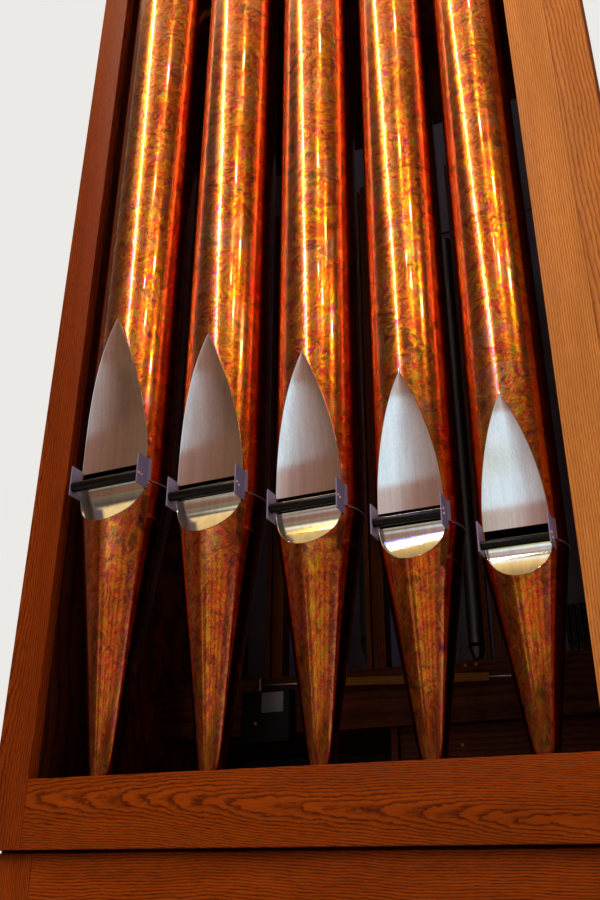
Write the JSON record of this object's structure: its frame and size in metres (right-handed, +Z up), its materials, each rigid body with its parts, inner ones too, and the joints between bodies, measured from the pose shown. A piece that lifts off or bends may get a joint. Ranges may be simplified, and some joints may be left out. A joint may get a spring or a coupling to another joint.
{
  "type": "pipe organ",
  "caption": "One bay of an oak organ case with a row of copper facade pipes over an impost rail, flattened bright mouths with ears and rollers, and inner pipes on a wind chest.",
  "frame": {"origin": "on the floor under the middle of the bounding box", "axes": "+X along the front to the right, +Y from the front into the organ, +Z up"},
  "size_m": [0.9994, 0.8855, 4.64],
  "materials": {
    "oak": "oiled oak",
    "oak_red": "stained oak",
    "pine": "bare",
    "panel": "painted",
    "copper": "flamed and lacquered",
    "lip_metal": "brushed",
    "ear_metal": "satin",
    "roller": "black stained",
    "pipe_metal": "dull",
    "box": "matt"
  },
  "bodies": {
    "root": {"plinth": "oak_red", "base_carcass": "oak_red", "base_stile_left": "oak_red", "base_stile_right": "oak_red", "base_top_rail": "oak_red", "base_bottom_rail": "oak_red", "base_panel": "oak_red", "deck": "oak_red", "stile_left": "oak", "stile_right": "oak", "closing_stile": "oak", "impost_rail": "oak_red", "top_rail": "oak", "jamb_left": "oak_red", "jamb_right": "oak_red", "side_left": "oak", "side_right": "oak", "back_panel": "oak_red", "roof": "oak_red", "inner_panel": "panel", "toe_board": "pine", "pipe_rail": "pine", "pipe_foot_1": "copper", "pipe_foot_2": "copper", "pipe_foot_3": "copper", "pipe_foot_4": "copper", "pipe_foot_5": "copper", "pipe_body_1": "copper", "pipe_body_2": "copper", "pipe_body_3": "copper", "pipe_body_4": "copper", "pipe_body_5": "copper", "lips_1": "lip_metal", "lips_2": "lip_metal", "lips_3": "lip_metal", "lips_4": "lip_metal", "lips_5": "lip_metal", "ears_1": "ear_metal", "ears_2": "ear_metal", "ears_3": "ear_metal", "ears_4": "ear_metal", "ears_5": "ear_metal", "roller_1": "roller", "roller_2": "roller", "roller_3": "roller", "roller_4": "roller", "roller_5": "roller", "windchest": "pine", "wooden_pipes": "pine", "metal_pipes": "pipe_metal", "relay_box": "box", "linkage": "pine"}
  },
  "joints": []
}
